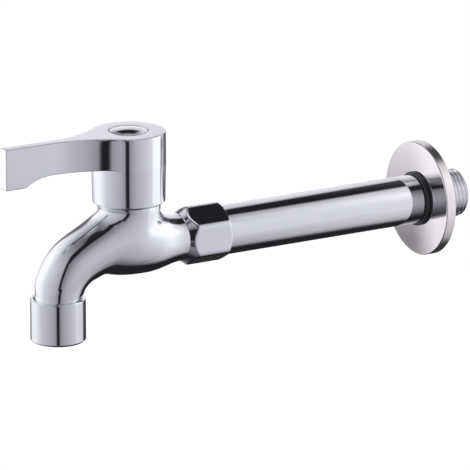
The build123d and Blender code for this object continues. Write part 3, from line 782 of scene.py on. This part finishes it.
cloth, tree, place = new_material("tent_cloth")
round_tent = add(
    tree,
    "ShaderNodeTexGradient",
    {"gradient_type": "RADIAL"},
    {"Vector": place["Object"]},
)
up_tent = add(tree, "ShaderNodeSeparateXYZ", links={"Vector": place["Object"]})
rise = spread(
    tree,
    up_tent.outputs["Z"],
    low=0.0,
    high=1.0,
    start=-TENT_RADIUS,
    end=TENT_RADIUS,
)
round_stops = [((azimuth + 180) / 360, colour) for azimuth, colour in TENT_ROUND]
rise_stops = [
    (0.5 + 0.5 * math.sin(math.radians(elevation)), colour)
    for elevation, colour in TENT_RISE
]
cloth_colour = add(
    tree,
    "ShaderNodeMix",
    {"data_type": "RGBA", "blend_type": "MULTIPLY", 0: 1.0},
    {
        6: cloth_ramp(tree, round_tent.outputs["Fac"], round_stops),
        7: cloth_ramp(tree, rise, rise_stops),
    },
)
glow = add(
    tree,
    "ShaderNodeEmission",
    {"Strength": CLOTH_GLOW},
    {"Color": cloth_colour.outputs[2]},
)
show(tree, glow.outputs["Emission"])
cloth.cycles.emission_sampling = "NONE"

tent_mesh = bmesh.new()
bmesh.ops.create_uvsphere(
    tent_mesh, u_segments=TENT_SEGMENTS, v_segments=TENT_RINGS, radius=TENT_RADIUS
)
tent = new_object("light_tent", tent_mesh, cloth)
tent.rotation_euler = (0, 0, TENT_FRONT_TURN)
reflected_only(tent)

# Painted shade: dark glowing sheets, which stand in for the darkness that the metal shows
# at the edges of the lens slot, which leans over at the top, with its shade, the gap behind
# the tap between the tent's roof and its back, a seam in the roof, a gap on the left, and
# the shade under the tap.
SHADE_SHEET_MOTTLE = 0.004
SHADE_SHEET_RADIUS = TENT_RADIUS - 0.01
UNDER_SHADE_SHEET_RADIUS = SHADE_SHEET_RADIUS + 0.003
DIMMING_SHADE_RADIUS = SHADE_SHEET_RADIUS + 0.005
PATCH_STEPS = 48
# A faint, mottled dark glow: painted shade, seen only in reflections.
shade_sheet, tree, place = new_material("painted_shade_black")
shade_mottle = noise(tree, place, SHADE_SHEET_MOTTLE)
dark = add(
    tree,
    "ShaderNodeEmission",
    {"Strength": 1.0},
    {"Color": blend(tree, shade_mottle, "#201F22", "#29282B")},
)
cover = add(tree, "ShaderNodeAttribute", {"attribute_name": "cover"})
clear = add(tree, "ShaderNodeBsdfTransparent")
faded = add(
    tree,
    "ShaderNodeMixShader",
    links={
        0: cover.outputs["Fac"],
        1: clear.outputs["BSDF"],
        2: dark.outputs["Emission"],
    },
)
show(tree, faded.outputs["Shader"])
shade_sheet.cycles.emission_sampling = "NONE"


def stage_patch(name, radius, rows):
    """Painted shade on part of a sphere round the tent's centre, fading out towards its
    sides.

    Its rows hold an elevation, the left and right azimuth, how wide the sides fade, all in
    degrees, and how dense the row is.
    """
    patch = bmesh.new()
    cover_layer = patch.verts.layers.float.new("cover")
    levels = []
    for elevation, left, right, fade, density in rows:
        level = []
        for step in range(PATCH_STEPS + 1):
            inward = (right - left) * min(step, PATCH_STEPS - step) / PATCH_STEPS
            azimuth = math.radians(left + (right - left) * step / PATCH_STEPS)
            lift = math.radians(elevation)
            corner = patch.verts.new(
                (
                    radius * math.sin(azimuth) * math.cos(lift),
                    -radius * math.cos(azimuth) * math.cos(lift),
                    radius * math.sin(lift),
                )
            )
            corner[cover_layer] = density * min(1.0, inward / fade)
            level.append(corner)
        levels.append(level)
    for low, high in zip(levels, levels[1:]):
        for step in range(PATCH_STEPS):
            patch.faces.new((low[step], low[step + 1], high[step + 1], high[step]))
    made = new_object(name, patch, shade_sheet)
    reflected_only(made)


stage_patch(
    "lens_slot",
    SHADE_SHEET_RADIUS,
    (
        (-38, 46, 60, 5, 0.0),
        (-30, 45, 61, 4, 1.0),
        (-8, 47, 62, 4, 1.0),
        (-4, 42, 55, 4, 1.0),
        (28, 38, 52, 4, 1.0),
        (42, 34, 63, 6, 1.0),
        (57, 42, 76, 8, 1.0),
        (69, 16, 72, 10, 1.0),
        (76, 16, 72, 10, 0.0),
    ),
)
stage_patch(
    "slot_shade",
    UNDER_SHADE_SHEET_RADIUS,
    (
        (10, 50, 92, 20, 0.0),
        (50, 46, 100, 24, 0.4),
        (66, 46, 110, 24, 0.0),
    ),
)
stage_patch(
    "roof_gap",
    SHADE_SHEET_RADIUS,
    (
        (26, 186, 214, 8, 0.0),
        (35, 176, 220, 8, 0.9),
        (51, 162, 226, 12, 1.0),
        (64, 150, 213, 15, 1.0),
        (70, 150, 213, 15, 0.0),
    ),
)
stage_patch(
    "roof_seam",
    SHADE_SHEET_RADIUS,
    (
        (46, -14, -10, 1, 0.0),
        (54, -17, -12, 2, 1.0),
        (64, -34, -20, 4, 1.0),
        (71, -50, -25, 6, 0.0),
    ),
)
stage_patch(
    "left_gap",
    SHADE_SHEET_RADIUS,
    (
        (-4, -98, -80, 7, 0.0),
        (8, -98, -80, 7, 0.7),
        (38, -106, -75, 10, 0.85),
        (64, -98, -58, 14, 0.0),
    ),
)
stage_patch(
    "back_gap",
    UNDER_SHADE_SHEET_RADIUS,
    (
        (-12, 186, 240, 10, 0.6),
        (4, 190, 223, 8, 0.9),
        (34, 184, 216, 8, 0.9),
        (42, 188, 212, 8, 0.0),
    ),
)
# Painted shade under the tap, which the metal reflects.
stage_patch(
    "painted_shade_below",
    SHADE_SHEET_RADIUS,
    (
        (-89, 70, 300, 10, 1.0),
        (-69, 106, 290, 24, 1.0),
        (-57, 136, 276, 34, 1.0),
        (-42, 166, 263, 17, 1.0),
        (-15, 186, 248, 10, 0.9),
        (-4, 190, 240, 8, 0.0),
    ),
)

# Grey painted shade: thinner dark sheets before the cloth, which dim its glow. They hang
# behind the tap, low on the right and high up, and on the left at three heights.
stage_patch(
    "dimming_shade_right",
    DIMMING_SHADE_RADIUS,
    (
        (-15, 134, 196, 12, 0.0),
        (-21, 134, 196, 14, 0.22),
        (-54, 118, 196, 34, 0.3),
        (-62, 116, 196, 34, 0.0),
    ),
)
stage_patch(
    "dimming_shade_lever",
    DIMMING_SHADE_RADIUS,
    (
        (11, -130, -100, 8, 0.0),
        (30, -130, -100, 8, 0.35),
        (35, -129, -100, 6, 1.0),
        (49, -129, -100, 6, 1.0),
        (54, -127, -100, 6, 0.0),
    ),
)
stage_patch(
    "dimming_shade_top",
    DIMMING_SHADE_RADIUS,
    (
        (30, 128, 188, 18, 0.0),
        (50, 128, 188, 18, 0.26),
        (62, 128, 188, 18, 0.26),
        (70, 128, 188, 18, 0.0),
    ),
)
stage_patch(
    "dimming_shade_low",
    DIMMING_SHADE_RADIUS,
    (
        (-37, 250, 290, 10, 0.0),
        (-48, 250, 290, 10, 0.5),
        (-62, 254, 304, 12, 0.0),
    ),
)
stage_patch(
    "dimming_shade_left",
    DIMMING_SHADE_RADIUS,
    (
        (-36, -94, -67, 6, 0.0),
        (-22, -94, -67, 5, 0.72),
        (-8, -88, -67, 5, 0.0),
    ),
)


# Camera and lamp: a long lens at the height and side from which the tap is seen, and a soft
# lamp above for the matt pieces, which the polished metal doesn't show.
LENS_WIDTH = 36.0
PICTURE_SIDE = 470
FOCAL_PIXELS = 5157.6
CAMERA_AZIMUTH = math.radians(59.29)
CAMERA_RISE = math.radians(16.01)
CAMERA_DISTANCE = 2.2
AIM = Vector((0, -0.09604, -0.00322))
LAMP_SPOT = Vector((0.9, -0.9, 1.4))
LAMP_WIDTH = 1.2
LAMP_POWER = 6.0


def look_from(made, spot, towards):
    """Stands a camera or a lamp at a spot, turned along a direction."""
    made.location = spot
    made.rotation_mode = "QUATERNION"
    made.rotation_quaternion = towards.to_track_quat("-Z", "Y")
    bpy.context.scene.collection.objects.link(made)


back = Vector(
    (
        math.sin(CAMERA_AZIMUTH) * math.cos(CAMERA_RISE),
        -math.cos(CAMERA_AZIMUTH) * math.cos(CAMERA_RISE),
        math.sin(CAMERA_RISE),
    )
)
lens = bpy.data.cameras.new("camera")
lens.sensor_width = LENS_WIDTH
lens.lens = FOCAL_PIXELS / PICTURE_SIDE * LENS_WIDTH
lens.clip_start = 0.1
lens.clip_end = 100.0
camera = bpy.data.objects.new("camera", lens)
look_from(camera, AIM + back * CAMERA_DISTANCE, -back)
bpy.context.scene.camera = camera

lamp_data = bpy.data.lights.new("soft_lamp", "AREA")
lamp_data.shape = "DISK"
lamp_data.size = LAMP_WIDTH
lamp_data.energy = LAMP_POWER
lamp = bpy.data.objects.new("soft_lamp", lamp_data)
look_from(lamp, LAMP_SPOT, AIM - LAMP_SPOT)
lamp.visible_glossy = False

bpy.context.scene.view_settings.view_transform = "Standard"
